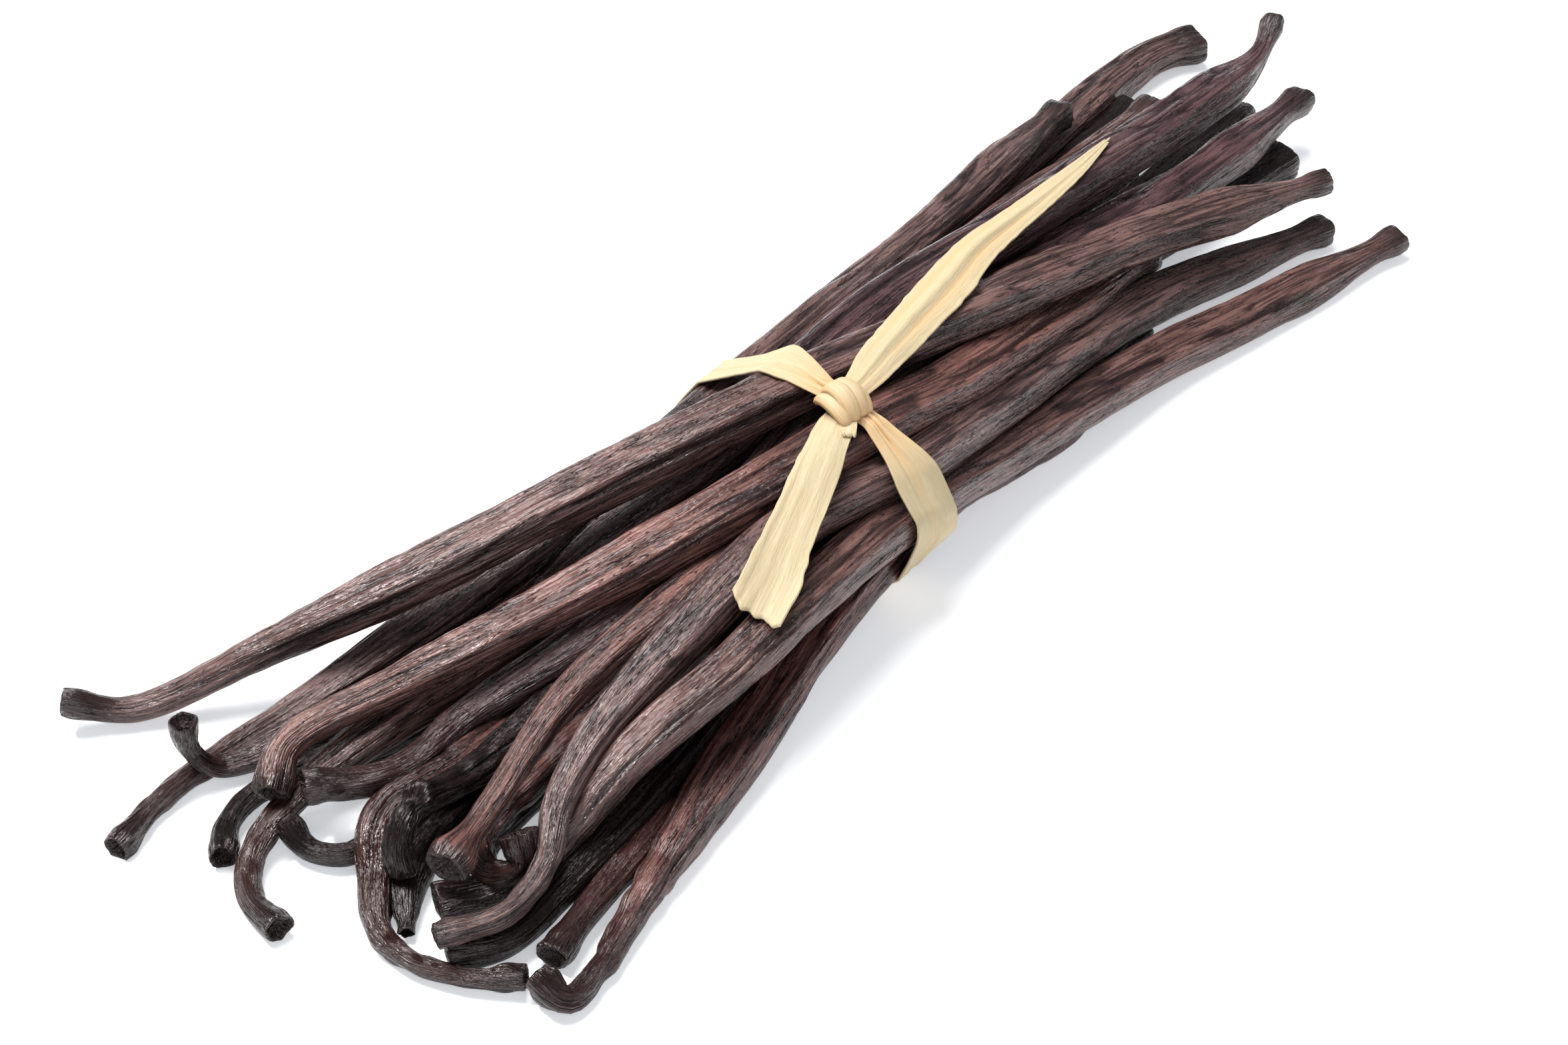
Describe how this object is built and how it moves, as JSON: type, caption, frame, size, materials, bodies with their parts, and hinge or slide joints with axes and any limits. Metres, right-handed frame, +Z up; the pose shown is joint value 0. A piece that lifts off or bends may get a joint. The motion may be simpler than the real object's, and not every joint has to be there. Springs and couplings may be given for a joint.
{
  "type": "bundle of vanilla pods",
  "caption": "Bundle of long cured vanilla pods lying flat, with hooked and curled stem ends, tied round the middle with a flat raffia strip with loose tails.",
  "frame": {"origin": "middle of the bundle's bounding box, at the height of the surface it lies on", "axes": "+X along the pods towards their blossom ends, +Y across the bundle, +Z up"},
  "size_m": [0.2192, 0.0786, 0.0278],
  "materials": {
    "pod": "oily, finely wrinkled lengthwise, dark chocolate brown",
    "raffia": "matte dry leaf strip with fine lengthwise ribs, pale straw"
  },
  "bodies": {
    "root": {"pods": "pod", "raffia_tie": "raffia"}
  },
  "joints": []
}
